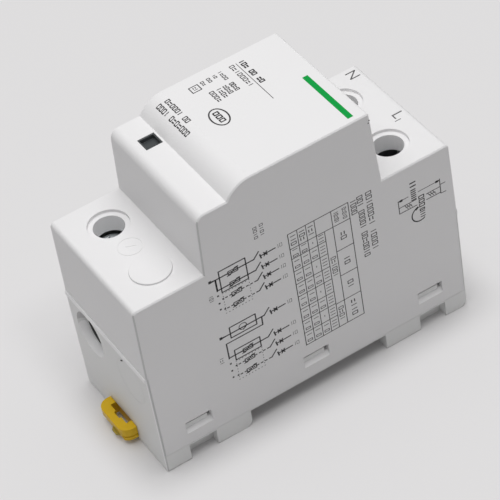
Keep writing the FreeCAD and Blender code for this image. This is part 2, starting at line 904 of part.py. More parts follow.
def all_parts():
    """Every piece of the device under its node name."""
    parts = {
        "front_cover": front_cover(),
        "rear_base": rear_base(),
        "rail_clip": rail_clip(),
        "indicator_window": indicator_window(),
        "terminal_bar_n": neutral_bar(),
        "terminal_bar_l1": live_bar(),
        "terminal_bar_pe": earth_bar(),
        "varistor_block": varistor_block(),
        "varistor_plate_outer": outer_plate(),
        "varistor_plate_inner": inner_plate(),
        "disconnect_arm": disconnect_arm(),
        "arm_post": arm_post(),
        "indicator_slider": indicator_slider(),
        "indicator_spring": indicator_spring(),
        "discharge_tube": discharge_tube(),
        "tube_cap_n": tube_cap(1),
        "tube_cap_pe": tube_cap(-1),
        "inner_barrier": inner_barrier(),
    }
    for name, side, end in terminals:
        raised = earth_screw_raise if name == "pe" else 0
        parts["terminal_screw_" + name] = terminal_screw(side, end, raised)
        parts["clamp_cage_" + name] = clamp_cage(side, end)
    return parts


os.makedirs("parts", exist_ok=True)
for name, shape in all_parts().items():
    shape.exportStep("parts/" + name + ".step")
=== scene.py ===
import bmesh
import bpy
import math
from mathutils import Matrix, Vector


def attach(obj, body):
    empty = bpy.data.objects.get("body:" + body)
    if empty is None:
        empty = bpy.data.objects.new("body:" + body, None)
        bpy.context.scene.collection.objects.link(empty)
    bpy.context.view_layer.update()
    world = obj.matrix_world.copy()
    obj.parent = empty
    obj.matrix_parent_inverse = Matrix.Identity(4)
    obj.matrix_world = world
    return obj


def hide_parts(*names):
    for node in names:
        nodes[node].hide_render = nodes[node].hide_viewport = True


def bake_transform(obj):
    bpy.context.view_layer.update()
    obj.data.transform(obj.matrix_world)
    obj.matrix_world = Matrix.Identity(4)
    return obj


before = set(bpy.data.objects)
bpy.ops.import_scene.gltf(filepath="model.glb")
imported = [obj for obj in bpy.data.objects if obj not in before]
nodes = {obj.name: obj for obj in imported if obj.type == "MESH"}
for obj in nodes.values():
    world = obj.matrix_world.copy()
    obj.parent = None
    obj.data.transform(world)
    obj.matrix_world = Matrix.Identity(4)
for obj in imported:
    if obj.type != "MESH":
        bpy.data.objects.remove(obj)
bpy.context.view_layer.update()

MM = 0.001

# Places that the part's source gives, in millimetres
NOSE_TOP = 64.0
SHOULDER_TOP = 44.6
SIDE_FACE = 18.0
END_FACE = 40.4
FLOOR_LEVEL = -4.5
CORNER_ROUND = 0.5
TERMINAL_X = 9.0
TERMINAL_Y = 30.2
SCREW_HOLE_RADIUS = 3.55
ENTRY_Z = 17.5
ENTRY_RADIUS = 4.6
MOUTH_RADIUS = 5.7
FLARE_DEPTH = 2.0
THROAT_DEPTH = 6.4

# Sizes of the looks, in millimetres; the lift is a share and the angle is in degrees
INK = 0.012
FOOT_ROUND = 0.42
SHADOW_CENTRE = (-13.0, 0.0)
SHADOW_HALF = (29.0, END_FACE)
SHADOW_REACH = 12.0
FLOOR_LIFT = 0.85
SMOOTH_ANGLE = 32.0

# Colour sockets of Blender's Mix node, by their place among all its sockets
MIX_FIRST, MIX_SECOND, MIX_RESULT = 6, 7, 2


# Shared effects

def new_group(name, inputs, outputs):
    """Empty node group with named sockets."""
    group = bpy.data.node_groups.new(name, "ShaderNodeTree")
    for socket, kind, value in inputs:
        made = group.interface.new_socket(socket, in_out="INPUT", socket_type=kind)
        if value is not None:
            made.default_value = value
    for socket, kind in outputs:
        group.interface.new_socket(socket, in_out="OUTPUT", socket_type=kind)
    return group, group.nodes.new("NodeGroupInput"), group.nodes.new("NodeGroupOutput")


def feed(tree, value, socket):
    """Sets a socket to a number or colour, or links it to another socket."""
    if isinstance(value, (int, float, tuple)):
        socket.default_value = value
    else:
        tree.links.new(value, socket)


def maths(tree, operation, first, second, clamp=False):
    """Math node fed by sockets or numbers."""
    node = tree.nodes.new("ShaderNodeMath")
    node.operation = operation
    node.use_clamp = clamp
    for socket, value in zip(node.inputs, (first, second)):
        feed(tree, value, socket)
    return node.outputs[0]


def noise(tree, vector, scale, detail, roughness=0.5):
    """Noise texture on given coordinates."""
    node = tree.nodes.new("ShaderNodeTexNoise")
    node.inputs["Detail"].default_value = detail
    node.inputs["Roughness"].default_value = roughness
    tree.links.new(vector, node.inputs["Vector"])
    feed(tree, scale, node.inputs["Scale"])
    return node.outputs[0]


def mixed(tree, share, first, second):
    """Blend of two colours, given as sockets or values."""
    mix = tree.nodes.new("ShaderNodeMix")
    mix.data_type = "RGBA"
    tree.links.new(share, mix.inputs["Factor"])
    feed(tree, first, mix.inputs[MIX_FIRST])
    feed(tree, second, mix.inputs[MIX_SECOND])
    return mix.outputs[MIX_RESULT]


def spark_grain():
    """Fine grain of a spark-eroded mould, with sparse larger pits."""
    group, given, result = new_group(
        "spark grain",
        [("Vector", "NodeSocketVector", None), ("Scale", "NodeSocketFloat", 5000.0),
         ("Pits", "NodeSocketFloat", 0.3)],
        [("Height", "NodeSocketFloat"), ("Mask", "NodeSocketFloat")])
    fine = noise(group, given.outputs["Vector"], given.outputs["Scale"], detail=3.0, roughness=0.6)
    cells = group.nodes.new("ShaderNodeTexVoronoi")
    group.links.new(given.outputs["Vector"], cells.inputs["Vector"])
    group.links.new(maths(group, "MULTIPLY", given.outputs["Scale"], 0.35), cells.inputs["Scale"])
    pits = maths(group, "MULTIPLY", cells.outputs["Distance"], given.outputs["Pits"])
    between_pits = maths(group, "SUBTRACT", 1.0, cells.outputs["Distance"], clamp=True)
    group.links.new(maths(group, "SUBTRACT", fine, pits), result.inputs["Height"])
    group.links.new(between_pits, result.inputs["Mask"])
    return group


def colour_drift():
    """Slow change of a colour over the surface, with a slight flow along the moulding."""
    group, given, result = new_group(
        "colour drift",
        [("Vector", "NodeSocketVector", None), ("Colour", "NodeSocketColor", (0.8, 0.8, 0.8, 1.0)),
         ("Second", "NodeSocketColor", (0.7, 0.7, 0.7, 1.0)), ("Amount", "NodeSocketFloat", 0.3),
         ("Scale", "NodeSocketFloat", 60.0)],
        [("Colour", "NodeSocketColor")])
    fine_scale = maths(group, "MULTIPLY", given.outputs["Scale"], 9.0)
    wide = noise(group, given.outputs["Vector"], given.outputs["Scale"], detail=2.0, roughness=0.5)
    small = noise(group, given.outputs["Vector"], fine_scale, detail=3.0, roughness=0.6)
    both = maths(group, "ADD", maths(group, "MULTIPLY", wide, 0.7), maths(group, "MULTIPLY", small, 0.3))
    spread = maths(group, "MULTIPLY", maths(group, "SUBTRACT", both, 0.35, clamp=True), 2.6, clamp=True)
    share = maths(group, "MULTIPLY", spread, given.outputs["Amount"], clamp=True)
    drifting = mixed(group, share, given.outputs["Colour"], given.outputs["Second"])
    group.links.new(drifting, result.inputs["Colour"])
    return group


def rubbed_edges():
    """Mask of the outer edges and the normal that rounds them."""
    group, given, result = new_group(
        "rubbed edges",
        [("Vector", "NodeSocketVector", None), ("Radius", "NodeSocketFloat", 0.00012),
         ("Strength", "NodeSocketFloat", 1.0)],
        [("Mask", "NodeSocketFloat"), ("Normal", "NodeSocketVector")])
    bevel = group.nodes.new("ShaderNodeBevel")
    bevel.samples = 6
    group.links.new(given.outputs["Radius"], bevel.inputs["Radius"])
    face = group.nodes.new("ShaderNodeNewGeometry")
    product = group.nodes.new("ShaderNodeVectorMath")
    product.operation = "DOT_PRODUCT"
    group.links.new(bevel.outputs["Normal"], product.inputs[0])
    group.links.new(face.outputs["Normal"], product.inputs[1])
    turn = maths(group, "SUBTRACT", 1.0, product.outputs["Value"], clamp=True)
    patches = noise(group, given.outputs["Vector"], 900.0, detail=3.0, roughness=0.6)
    rub = maths(group, "MULTIPLY", maths(group, "MULTIPLY", turn, 6.0, clamp=True), patches)
    mask = maths(group, "MULTIPLY", rub, given.outputs["Strength"], clamp=True)
    group.links.new(mask, result.inputs["Mask"])
    group.links.new(bevel.outputs["Normal"], result.inputs["Normal"])
    return group


def handling():
    """Roughness with slight smears where hands and tools have touched it."""
    group, given, result = new_group(
        "handling",
        [("Vector", "NodeSocketVector", None), ("Roughness", "NodeSocketFloat", 0.5),
         ("Smears", "NodeSocketFloat", 0.08), ("Scale", "NodeSocketFloat", 90.0)],
        [("Roughness", "NodeSocketFloat")])
    wide = noise(group, given.outputs["Vector"], given.outputs["Scale"], detail=4.0, roughness=0.65)
    swing = maths(group, "MULTIPLY", maths(group, "SUBTRACT", wide, 0.5), given.outputs["Smears"])
    both_ways = maths(group, "MULTIPLY", swing, 2.0)
    group.links.new(maths(group, "ADD", given.outputs["Roughness"], both_ways, clamp=True),
                    result.inputs["Roughness"])
    return group


GRAIN = spark_grain()
DRIFT = colour_drift()
EDGES = rubbed_edges()
HANDLING = handling()


# Finishes

def rgba(red, green, blue):
    """Colour with full alpha."""
    return (red, green, blue, 1.0)


def place_group(tree, group, vector, **values):
    """Node group in a material, fed with coordinates and its own values."""
    node = tree.nodes.new("ShaderNodeGroup")
    node.node_tree = group
    tree.links.new(vector, node.inputs["Vector"])
    for name, value in values.items():
        node.inputs[name].default_value = value
    return node


def blank_material(name):
    """Material with its surface shader and object coordinates."""
    material = bpy.data.materials.new(name)
    material.use_nodes = True
    tree = material.node_tree
    shader = tree.nodes["Principled BSDF"]
    where = tree.nodes.new("ShaderNodeTexCoord").outputs["Object"]
    return material, tree, shader, where


def fine_relief(tree, shader, height, depth, strength, normal=None):
    """Shallow relief of a surface, on top of its rounded edges where their normal is given."""
    bump = tree.nodes.new("ShaderNodeBump")
    bump.inputs["Distance"].default_value = depth
    bump.inputs["Strength"].default_value = strength
    tree.links.new(height, bump.inputs["Height"])
    if normal:
        tree.links.new(normal, bump.inputs["Normal"])
    tree.links.new(bump.outputs["Normal"], shader.inputs["Normal"])


def moulded_plastic(name, colour, second, edge, roughness, grain=5000.0, depth=0.000006, drift=0.35, rub=0.6,
                    specular=0.45):
    """Injection-moulded plastic: grain, slight colour drift, smears and paler rubbed edges."""
    material, tree, shader, where = blank_material(name)
    tint = place_group(tree, DRIFT, where, Colour=rgba(*colour), Second=rgba(*second), Amount=drift)
    edges = place_group(tree, EDGES, where, Strength=rub)
    skin = place_group(tree, GRAIN, where, Scale=grain)
    touch = place_group(tree, HANDLING, where, Roughness=roughness)
    paint = mixed(tree, edges.outputs["Mask"], tint.outputs["Colour"], rgba(*edge))
    tree.links.new(paint, shader.inputs["Base Color"])
    tree.links.new(touch.outputs["Roughness"], shader.inputs["Roughness"])
    fine_relief(tree, shader, skin.outputs["Height"], depth, 0.6, edges.outputs["Normal"])
    shader.inputs["Specular IOR Level"].default_value = specular
    return material


def plated_metal(name, colour, second, edge, roughness, brush=(1.0, 1.0, 12.0)):
    """Plated or drawn metal with fine drawing lines, stains and bright edges."""
    material, tree, shader, where = blank_material(name)
    stretch = tree.nodes.new("ShaderNodeMapping")
    stretch.inputs["Scale"].default_value = brush
    tree.links.new(where, stretch.inputs["Vector"])
    lines = noise(tree, stretch.outputs["Vector"], 1400.0, detail=4.0, roughness=0.7)
    tint = place_group(tree, DRIFT, where, Colour=rgba(*colour), Second=rgba(*second), Amount=0.6,
                       Scale=300.0)
    edges = place_group(tree, EDGES, where, Radius=0.00015, Strength=0.9)
    touch = place_group(tree, HANDLING, where, Roughness=roughness, Smears=0.16, Scale=260.0)
    paint = mixed(tree, edges.outputs["Mask"], tint.outputs["Colour"], rgba(*edge))
    tree.links.new(paint, shader.inputs["Base Color"])
    tree.links.new(touch.outputs["Roughness"], shader.inputs["Roughness"])
    fine_relief(tree, shader, lines, 0.000008, 0.5, edges.outputs["Normal"])
    shader.inputs["Metallic"].default_value = 1.0
    return material


def pad_print(name, colour, second):
    """Printed ink that is a little uneven and lets the grain through."""
    material, tree, shader, where = blank_material(name)
    tint = place_group(tree, DRIFT, where, Colour=rgba(*colour), Second=rgba(*second), Amount=0.7,
                       Scale=700.0)
    skin = place_group(tree, GRAIN, where, Scale=6000.0)
    touch = place_group(tree, HANDLING, where, Roughness=0.55, Smears=0.1, Scale=500.0)
    tree.links.new(tint.outputs["Colour"], shader.inputs["Base Color"])
    tree.links.new(touch.outputs["Roughness"], shader.inputs["Roughness"])
    fine_relief(tree, shader, skin.outputs["Height"], 0.000004, 0.5)
    shader.inputs["Specular IOR Level"].default_value = 0.1
    return material


def smoked_lens():
    """Polished dark lens over the indicator flag."""
    material, tree, shader, where = blank_material("smoked_lens")
    tint = place_group(tree, DRIFT, where, Colour=rgba(0.055, 0.062, 0.07), Second=rgba(0.07, 0.074, 0.068),
                       Amount=0.8, Scale=220.0)
    edges = place_group(tree, EDGES, where, Radius=0.0002, Strength=0.5)
    touch = place_group(tree, HANDLING, where, Roughness=0.24, Smears=0.08, Scale=400.0)
    paint = mixed(tree, edges.outputs["Mask"], tint.outputs["Colour"], rgba(0.12, 0.12, 0.12))
    tree.links.new(paint, shader.inputs["Base Color"])
    tree.links.new(touch.outputs["Roughness"], shader.inputs["Roughness"])
    fine_relief(tree, shader, noise(tree, where, 500.0, detail=2.0), 0.00002, 0.3, edges.outputs["Normal"])
    shader.inputs["Specular IOR Level"].default_value = 0.5
    return material


cover_white = moulded_plastic("cover_white", (0.8, 0.793, 0.798), (0.775, 0.768, 0.773), (0.86, 0.855, 0.86),
                              0.5)
base_white = moulded_plastic("base_white", (0.785, 0.787, 0.782), (0.755, 0.757, 0.752), (0.84, 0.84, 0.84),
                             0.52)
# Paler white as painted light on the screw tubes, window bevels, end-face corner rims, the lip under the seam
# and the lower halves of the flares
painted_highlight_white = moulded_plastic("painted_highlight_white", (0.93, 0.925, 0.93), (0.9, 0.895, 0.9), (0.95, 0.95, 0.95),
                                 0.4)
# Darker white as painted shade on the upright corners and the upper halves of the flares
painted_shade_white = moulded_plastic("painted_shade_white", (0.6, 0.597, 0.6), (0.56, 0.558, 0.56), (0.65, 0.65, 0.65),
                               0.55)
# Near black as painted shade deep in the straight part of the cable entries
throat_painted_shade = moulded_plastic("throat_painted_shade", (0.1, 0.1, 0.1), (0.07, 0.07, 0.07), (0.14, 0.14, 0.14), 0.6)
clip_yellow = moulded_plastic("clip_yellow", (0.74, 0.47, 0.008), (0.66, 0.4, 0.006), (0.9, 0.68, 0.05), 0.4,
                              grain=3500.0, rub=0.8, specular=0.3)
# Darker olive yellow as painted shade on the tooth under the clip
clip_painted_shade = moulded_plastic("clip_painted_shade", (0.42, 0.33, 0.05), (0.36, 0.28, 0.04), (0.5, 0.4, 0.1), 0.5)
varistor_blue = moulded_plastic("varistor_blue", (0.03, 0.1, 0.25), (0.02, 0.07, 0.18), (0.1, 0.2, 0.38), 0.4,
                                grain=2500.0, depth=0.00002)
barrier_grey = moulded_plastic("barrier_grey", (0.3, 0.3, 0.32), (0.24, 0.24, 0.26), (0.42, 0.42, 0.44), 0.6)
flag_red = moulded_plastic("flag_red", (0.6, 0.04, 0.03), (0.48, 0.03, 0.02), (0.75, 0.15, 0.1), 0.4)
tube_ceramic = moulded_plastic("tube_ceramic", (0.8, 0.78, 0.74), (0.7, 0.67, 0.62), (0.9, 0.88, 0.85), 0.65,
                               grain=1800.0, depth=0.00002, drift=0.6)
screw_zinc = plated_metal("screw_zinc", (0.72, 0.75, 0.76), (0.55, 0.58, 0.6), (0.88, 0.9, 0.9), 0.42)
cage_zinc = plated_metal("cage_zinc", (0.56, 0.57, 0.58), (0.42, 0.43, 0.44), (0.8, 0.8, 0.8), 0.38,
                         brush=(1.0, 12.0, 1.0))
bar_tin = plated_metal("bar_tin", (0.72, 0.6, 0.42), (0.6, 0.45, 0.28), (0.9, 0.8, 0.62), 0.35,
                       brush=(1.0, 12.0, 1.0))
spring_wire = plated_metal("spring_wire", (0.5, 0.5, 0.5), (0.35, 0.35, 0.36), (0.75, 0.75, 0.75), 0.3,
                           brush=(1.0, 1.0, 3.0))
lens_dark = smoked_lens()
ink_grey = pad_print("ink_grey", (0.05, 0.048, 0.05), (0.09, 0.087, 0.09))
ink_soft = pad_print("ink_soft", (0.11, 0.107, 0.11), (0.15, 0.147, 0.15))
ink_green = pad_print("ink_green", (0.002, 0.31, 0.05), (0.004, 0.35, 0.065))


# Modelling steps that several pieces share

def object_mode():
    """Back to object mode with nothing selected."""
    if bpy.context.object and bpy.context.object.mode != "OBJECT":
        bpy.ops.object.mode_set(mode="OBJECT")
    bpy.ops.object.select_all(action="DESELECT")


def finish_piece(piece, name, finish, body):
    """Name, material and body of a finished piece; a piece given no body is left unattached here."""
    object_mode()
    piece.name = name
    piece.data.name = name
    piece.data.materials.clear()
    piece.data.materials.append(finish)
    if body:
        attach(piece, body)
    return piece


def smoothed_copy(node, name, finish, body):
    """Copy of a CAD node with its triangles joined, so that its round surfaces shade evenly."""
    object_mode()
    nodes[node].select_set(True)
    bpy.context.view_layer.objects.active = nodes[node]
    bpy.ops.object.duplicate()
    piece = bpy.context.object
    for key in list(piece.keys()):
        del piece[key]
    piece.parent = None
    bpy.ops.mesh.customdata_custom_splitnormals_clear()
    bpy.ops.object.mode_set(mode="EDIT")
    bpy.ops.mesh.select_all(action="SELECT")
    bpy.ops.mesh.remove_doubles(threshold=0.000001)
    bpy.ops.mesh.dissolve_limited(angle_limit=math.radians(0.2))
    bpy.ops.object.mode_set(mode="OBJECT")
    bpy.ops.object.shade_smooth_by_angle(angle=math.radians(SMOOTH_ANGLE))
    even = piece.modifiers.new("even", "WEIGHTED_NORMAL")
    even.keep_sharp = True
    even.weight = 100
    bpy.ops.object.modifier_apply(modifier="even")
    finish_piece(piece, name, finish, body)
    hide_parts(node)
    return piece


def stretching_spring():
    """Shutter's spring, with its foot on the base and its top under the shutter; copied with no body and its
    place applied to its mesh.
    """
    spring = smoothed_copy("indicator_spring", "shutter_spring", spring_wire, None)
    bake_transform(spring)


def second_finish(piece, finish, wanted):
    """Another finish on the faces that a test wants, by their middle in millimetres and their normal."""
    piece.data.materials.append(finish)
    for face in piece.data.polygons:
        if wanted(face.center / MM, face.normal):
            face.material_index = len(piece.data.materials) - 1


def soften_foot(piece):
    """Small round where the base's outer walls meet the surface it stands on."""
    object_mode()
    piece.select_set(True)
    bpy.context.view_layer.objects.active = piece
    bpy.ops.object.mode_set(mode="EDIT")
    bpy.ops.mesh.select_mode(type="EDGE")
    bpy.ops.mesh.select_all(action="DESELECT")
    shape = bmesh.from_edit_mesh(piece.data)
    rim = CORNER_ROUND + 0.05
    for edge in shape.edges:
        middle = (edge.verts[0].co + edge.verts[1].co) / 2 / MM
        outer = abs(middle.x) > SIDE_FACE - rim or abs(middle.y) > END_FACE - rim
        tilts = sorted(face.normal.z for face in edge.link_faces)
        under_wall = len(tilts) == 2 and tilts[0] < -0.9 and abs(tilts[1]) < 0.2
        if outer and under_wall and abs(middle.z - FLOOR_LEVEL) < 0.01:
            edge.select_set(True)
    bmesh.update_edit_mesh(piece.data)
    bpy.ops.mesh.bevel(offset=FOOT_ROUND * MM, segments=3, affect="EDGES")
    bpy.ops.mesh.select_mode(type="VERT")
    bpy.ops.object.mode_set(mode="OBJECT")


def at_corner(middle, normal):
    """Upright rounded corners at the clip's end."""
    return (abs(normal.z) < 0.3 and abs(middle.x) > SIDE_FACE - CORNER_ROUND and middle.x * normal.x > 0
            and middle.y < 0)


def on_corner(middle, normal):
    """Half of an upright corner that leans to the side face."""
    return at_corner(middle, normal) and normal.y < -0.15 and abs(normal.x) > 0.6


def on_corner_rim(middle, normal):
    """Half of an upright corner that leans to the end face."""
    return at_corner(middle, normal) and normal.y < -0.75 and abs(normal.x) > 0.15


def on_lip(middle, normal):
    """Narrow lip of the end wall under the seam."""
    return abs(middle.y) > END_FACE + 0.03 and middle.z > FLOOR_LEVEL + 10


def off_entry(middle):
    """Distance from the middle line of the nearer cable entry."""
    return math.hypot(abs(middle.x) - TERMINAL_X, middle.z - ENTRY_Z)


def in_flare(middle, normal):
    """Flared mouth of a cable entry."""
    return (off_entry(middle) < MOUTH_RADIUS + 0.05 and 0.3 < abs(normal.y) < 0.7
            and END_FACE - FLARE_DEPTH < abs(middle.y) < END_FACE - 0.05)


def in_flare_bottom(middle, normal):
    """Lower half of the flare."""
    return in_flare(middle, normal) and normal.z > 0.1


def in_flare_top(middle, normal):
    """Upper half of the flare."""
    return in_flare(middle, normal) and normal.z < -0.1


def in_entry_throat(middle, normal):
    """Straight part of a cable entry, behind its flare."""
    return (off_entry(middle) < ENTRY_RADIUS + 0.15 and abs(normal.y) < 0.3
            and END_FACE - THROAT_DEPTH < abs(middle.y) < END_FACE - FLARE_DEPTH)


def on_clip_tooth(middle, normal):
    """Small tooth under the front of the clip."""
    return middle.y < -END_FACE - 3.25 and middle.z < FLOOR_LEVEL + 1.9 and abs(middle.x) < 3.3


def on_window_bevel(middle, normal):
    """Sloping lower edge of a snap window."""
    return abs(middle.x) > SIDE_FACE - 1 and middle.x * normal.x > 0 and normal.z > 0.3 and middle.z < 12


def in_screw_tube(middle, normal):
    """Inner wall of a screw hole."""
    off_screw = math.hypot(abs(middle.x) - TERMINAL_X, abs(middle.y) - TERMINAL_Y)
    return off_screw < SCREW_HOLE_RADIUS + 0.15 and abs(normal.z) < 0.3 and middle.z > SHOULDER_TOP - 6


# Drawing steps of the prints, in millimetres in the print plane

def start_sheet(width, height, x, y):
    """New flat sheet in the print plane, left in edit mode."""
    object_mode()
    bpy.ops.mesh.primitive_plane_add(size=1, location=(0, 0, 0))
    sheet = bpy.context.object
    bpy.ops.object.mode_set(mode="EDIT")
    bpy.ops.transform.resize(value=(width, height, 1))
    bpy.ops.transform.translate(value=(x, y, 0))
    return sheet


def stroke(start, end, width):
    """Straight printed line between two points of the print plane."""
    across = Vector(end) - Vector(start)
    middle = (Vector(start) + Vector(end)) / 2
    centre = (middle.x, middle.y, 0)
    bpy.ops.mesh.select_all(action="DESELECT")
    bpy.ops.mesh.primitive_plane_add(size=1, location=centre)
    bpy.ops.transform.resize(value=(across.length + width * 0.5, width, 1), center_override=centre)
    angle = math.atan2(across.y, across.x)
    if abs(angle) > 0.001:
        bpy.ops.transform.rotate(value=-angle, orient_axis="Z", center_override=centre)


def frame_line(x0, y0, x1, y1, width):
    """Printed outline of a rectangle."""
    stroke((x0, y0), (x1, y0), width)
    stroke((x1, y0), (x1, y1), width)
    stroke((x1, y1), (x0, y1), width)
    stroke((x0, y1), (x0, y0), width)


def word_row(pattern, start, end, height, width):
    """Row of plain shapes: o is a hollow block, i a bar, z a pair of dashes and a space a gap."""
    way = Vector(end) - Vector(start)
    step = way / len(pattern)
    up = Vector((-way.y, way.x)).normalized() * height / 2
    for k, shape in enumerate(pattern):
        middle = Vector(start) + step * (k + 0.5)
        half = step * 0.31
        if shape == "o":
            stroke(middle - half - up, middle - half + up, width)
            stroke(middle + half - up, middle + half + up, width)
            stroke(middle - half + up, middle + half + up, width)
            stroke(middle - half - up, middle + half - up, width)
        elif shape == "i":
            stroke(middle - up, middle + up, width)
        elif shape == "z":
            stroke(middle - half + up * 0.45, middle + half + up * 0.45, width * 1.3)
            stroke(middle - half - up * 0.75, middle + half - up * 0.75, width * 1.3)


def shape_ring(x, y, radius_x, radius_y, width):
    """Turns the selected unit circle about a point into a flat ring."""
    centre = (x, y, 0)
    outer = (radius_x + width / 2, radius_y + width / 2, 1)
    inner = ((radius_x - width / 2) / outer[0], (radius_y - width / 2) / outer[1], 1)
    bpy.ops.transform.resize(value=outer, center_override=centre)
    bpy.ops.mesh.extrude_region_move()
    bpy.ops.transform.resize(value=inner, center_override=centre)


def start_ring(x, y, radius, width, points):
    """New flat ring in the print plane, left in edit mode."""
    object_mode()
    bpy.ops.mesh.primitive_circle_add(vertices=points, radius=1, location=(0, 0, 0))
    ring = bpy.context.object
    bpy.ops.object.mode_set(mode="EDIT")
    bpy.ops.transform.translate(value=(x, y, 0))
    shape_ring(x, y, radius, radius, width)
    return ring


def ring_line(x, y, radius_x, radius_y, width, points=40):
    """Printed ring."""
    bpy.ops.mesh.select_all(action="DESELECT")
    bpy.ops.mesh.primitive_circle_add(vertices=points, radius=1, location=(x, y, 0))
    shape_ring(x, y, radius_x, radius_y, width)


def arc_line(x, y, radius, first, last):
    """Printed arc from one angle to another, in degrees."""
    steps = 14
    turns = [math.radians(first + (last - first) * k / steps) for k in range(steps + 1)]
    points = [(x + radius * math.cos(turn), y + radius * math.sin(turn)) for turn in turns]
    for start, end in zip(points, points[1:]):
        stroke(start, end, 0.3)


# Turns from the print plane to the faces of the case
FACE_TURNS = {
    "top": Matrix(((1, 0, 0), (0, 1, 0), (0, 0, 1))),
    "side": Matrix(((0, 0, 1), (1, 0, 0), (0, 1, 0))),
    "end": Matrix(((1, 0, 0), (0, 0, -1), (0, 1, 0))),
}


def thicken(piece, thickness):
    """Gives a flat print its thickness, half on each side."""
    solid = piece.modifiers.new("ink", "SOLIDIFY")
    solid.thickness = thickness
    solid.offset = 0
    bpy.ops.object.modifier_apply(modifier="ink")


def apply_place(piece, place):
    """Puts a piece in its place and applies that to its mesh."""
    piece.matrix_world = place
    bpy.ops.object.transform_apply(location=True, rotation=True, scale=True)


def lay_print(piece, name, face, level, finish=ink_grey, thickness=INK):
    """Gives a drawn print its thickness and lays it on a face of the case."""
    bpy.ops.mesh.select_all(action="SELECT")
    bpy.ops.mesh.normals_make_consistent(inside=False)
    bpy.ops.object.mode_set(mode="OBJECT")
    thicken(piece, thickness)
    turn = FACE_TURNS[face]
    place = Matrix.Translation(turn @ Vector((0, 0, level)) * MM) @ turn.to_4x4()
    apply_place(piece, place @ Matrix.Diagonal((MM, MM, MM, 1)))
    return finish_piece(piece, name, finish, "case")


# Printed marks on the nose and the shoulders

def nose_print():
    """Rows of plain shapes, the rule between them and the two outlined marks."""
    sheet = start_sheet(15.2, 0.16, -7.1, 9.02)
    word_row("ioz oo zo", (-14.95, 10.3), (-5.55, 10.3), 1.05, 0.32)
    word_row("oziooozi", (-14.9, 7.8), (-6.0, 7.8), 1.0, 0.21)
    word_row("izoo", (-15.0, 4.8), (-11.4, 4.8), 0.75, 0.19)
    word_row("oozo", (-10.0, 4.8), (-6.9, 4.8), 0.95, 0.23)
    word_row("io", (-14.8, 3.25), (-13.4, 3.25), 0.65, 0.19)
    word_row("zozo", (-10.2, 3.2), (-6.9, 3.2), 0.95, 0.23)
    word_row("oo", (-14.7, 1.7), (-12.9, 1.7), 0.7, 0.19)
    word_row("izoz", (-10.35, 1.7), (-6.45, 1.7), 0.95, 0.23)
    word_row("oz", (-14.6, 0.1), (-12.9, 0.1), 0.7, 0.19)
    word_row("oooz", (-10.4, -0.05), (-6.2, -0.05), 0.95, 0.23)
    frame_line(-14.35, -3.2, -12.35, -1.05, 0.24)
    word_row("zi", (-14.0, -2.1), (-12.7, -2.1), 0.9, 0.18)
    ring_line(-2.06, -2.95, 2.95, 1.95, 0.36)
    word_row("ooo", (-4.1, -2.95), (-0.1, -2.95), 1.15, 0.34)
    return lay_print(sheet, "nose_print", "top", NOSE_TOP)


def green_bar():
    """Plain green bar near the far edge of the nose."""
    sheet = start_sheet(17.6, 1.38, 7.7, 17.98)
    return lay_print(sheet, "green_bar", "top", NOSE_TOP, ink_green)


def status_rows():
    """Two rows of small shapes beside the window, printed down the rolled brow."""
    sheet = start_sheet(0.18, 1.0, -14.3, -8.75)
    word_row("ozoooi oo", (-14.45, -8.72), (-5.05, -8.72), 1.1, 0.26)
    word_row("oooi ozozooo", (-14.75, -10.75), (-2.1, -10.75), 1.1, 0.26)
    bpy.ops.mesh.select_all(action="SELECT")
    bpy.ops.mesh.subdivide(number_cuts=3)
    bpy.ops.object.mode_set(mode="OBJECT")
    above = Matrix.Translation((0, 0, (NOSE_TOP + 6) * MM))
    apply_place(sheet, above @ Matrix.Diagonal((MM, MM, MM, 1)))
    drop = sheet.modifiers.new("drop", "SHRINKWRAP")
    drop.target = nodes["front_cover"]
    drop.wrap_method = "PROJECT"
    drop.use_project_z = True
    drop.use_negative_direction = True
    drop.use_positive_direction = False
    bpy.ops.object.modifier_apply(modifier="drop")
    thicken(sheet, INK * MM)
    return finish_piece(sheet, "status_rows", ink_grey, "case")


def terminal_mark(name, text, x, y, size, ink):
    """Plain terminal letter on a shoulder, made a mesh and laid on the face."""
    object_mode()
    bpy.ops.object.text_add(location=(0, 0, 0))
    letters = bpy.context.object
    letters.data.body = text
    letters.data.size = size
    letters.data.align_x = "CENTER"
    letters.data.align_y = "CENTER"
    letters.data.offset = -0.016
    letters.data.resolution_u = 3
    bpy.ops.object.convert(target="MESH")
    letters = bpy.context.object
    bpy.ops.object.mode_set(mode="EDIT")
    bpy.ops.mesh.select_all(action="SELECT")
    bpy.ops.mesh.remove_doubles(threshold=0.001)
    bpy.ops.transform.translate(value=(x, y, 0))
    return lay_print(letters, name, "top", SHOULDER_TOP, ink)


# Printed marks on the side

